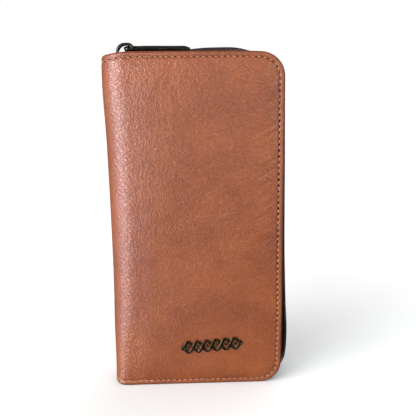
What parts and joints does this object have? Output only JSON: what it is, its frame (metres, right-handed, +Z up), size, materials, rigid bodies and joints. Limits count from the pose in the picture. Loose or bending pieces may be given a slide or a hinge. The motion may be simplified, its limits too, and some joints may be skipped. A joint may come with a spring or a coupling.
{
  "type": "zip around wallet",
  "caption": "Long zip around wallet: two padded leather covers on a folded spine, with card panels, a zipped coin pocket, gussets and a pull slider.",
  "frame": {"origin": "on the standing surface, at the centre of the closed wallet's box", "axes": "+Z up along the wallet's length, the front cover with the ornament faces -Y, the spine is at -X and the free edge with the zip at +X"},
  "size_m": [0.1034, 0.029, 0.1992],
  "materials": {
    "cover_leather": "pebbled, semi-matt, wax sheen",
    "inner_leather": "smooth thin split, edges painted",
    "padding": "needled wadding",
    "board": "bonded leather board",
    "lining": "plain weave, dark brown",
    "zip_tape": "woven herringbone tape",
    "zip_coil": "dark nylon monofilament",
    "dark_metal": "antique gunmetal plating, worn at the edges"
  },
  "bodies": {
    "spine": {"spine_leather": "cover_leather", "spine_lining": "lining", "zip_end_tab_top": "inner_leather", "zip_end_tab_bottom": "inner_leather", "coin_pocket_front_wall": "lining", "coin_pocket_back_wall": "lining", "coin_pocket_spine_strip": "lining", "coin_zip_tape_front": "zip_tape", "coin_zip_tape_back": "zip_tape", "coin_zip_coil_front": "zip_coil", "coin_zip_coil_back": "zip_coil", "gusset_front_top": "lining", "gusset_front_bottom": "lining", "gusset_back_top": "lining", "gusset_back_bottom": "lining"},
    "front_cover": {"front_leather": "cover_leather", "front_foam": "padding", "front_board": "board", "front_lining": "lining", "front_spine_flex": "cover_leather", "front_zip_tape": "zip_tape", "front_zip_coil": "zip_coil", "front_card_slot_1": "inner_leather", "front_card_slot_2": "inner_leather", "front_card_slot_3": "inner_leather", "front_card_slot_4": "inner_leather", "ornament_braid": "dark_metal", "ornament_pins": "dark_metal"},
    "back_cover": {"back_leather": "cover_leather", "back_foam": "padding", "back_board": "board", "back_lining": "lining", "back_spine_flex": "cover_leather", "back_zip_tape": "zip_tape", "back_zip_coil": "zip_coil", "back_card_slot_1": "inner_leather", "back_card_slot_2": "inner_leather", "back_card_slot_3": "inner_leather", "back_card_slot_4": "inner_leather"},
    "slider": {"zip_slider": "dark_metal", "zip_slider_crown": "dark_metal"},
    "puller": {"zip_puller": "dark_metal"},
    "coin_slider": {"coin_zip_slider": "dark_metal", "coin_zip_slider_crown": "dark_metal"},
    "coin_puller": {"coin_zip_puller": "dark_metal"}
  },
  "joints": [
    {"name": "front_cover_open", "type": "hinge", "parent": "spine", "child": "front_cover", "pos_m": [-0.04815, -0.0082, 0.0975], "axis": [0, 0, -1], "range_deg": [0, 50], "deforming": ["front_zip_tape", "front_zip_coil", "gusset_front_top", "gusset_front_bottom"]},
    {"name": "back_cover_open", "type": "hinge", "parent": "spine", "child": "back_cover", "pos_m": [-0.04815, 0.0092, 0.0975], "axis": [0, 0, 1], "range_deg": [0, 50], "deforming": ["back_zip_tape", "back_zip_coil", "gusset_back_top", "gusset_back_bottom"]},
    {"name": "slider_travel", "type": "slide", "parent": "spine", "child": "slider", "axis": [0.9986, 0, 0.0523], "range_m": [0, 0.056], "deforming": ["front_zip_coil", "back_zip_coil"]},
    {"name": "puller_swing", "type": "hinge", "parent": "slider", "child": "puller", "pos_m": [-0.0394, 0.0005, 0.1966], "axis": [0, -1, 0], "range_deg": [0, 165]},
    {"name": "coin_slider_travel", "type": "slide", "parent": "spine", "child": "coin_slider", "axis": [0, 0, -1], "range_m": [0, 0.15], "deforming": ["coin_zip_coil_front", "coin_zip_coil_back"]},
    {"name": "coin_puller_swing", "type": "hinge", "parent": "coin_slider", "child": "coin_puller", "pos_m": [0.03025, 0.0005, 0.1753], "axis": [0, -1, 0], "range_deg": [0, 150]}
  ]
}
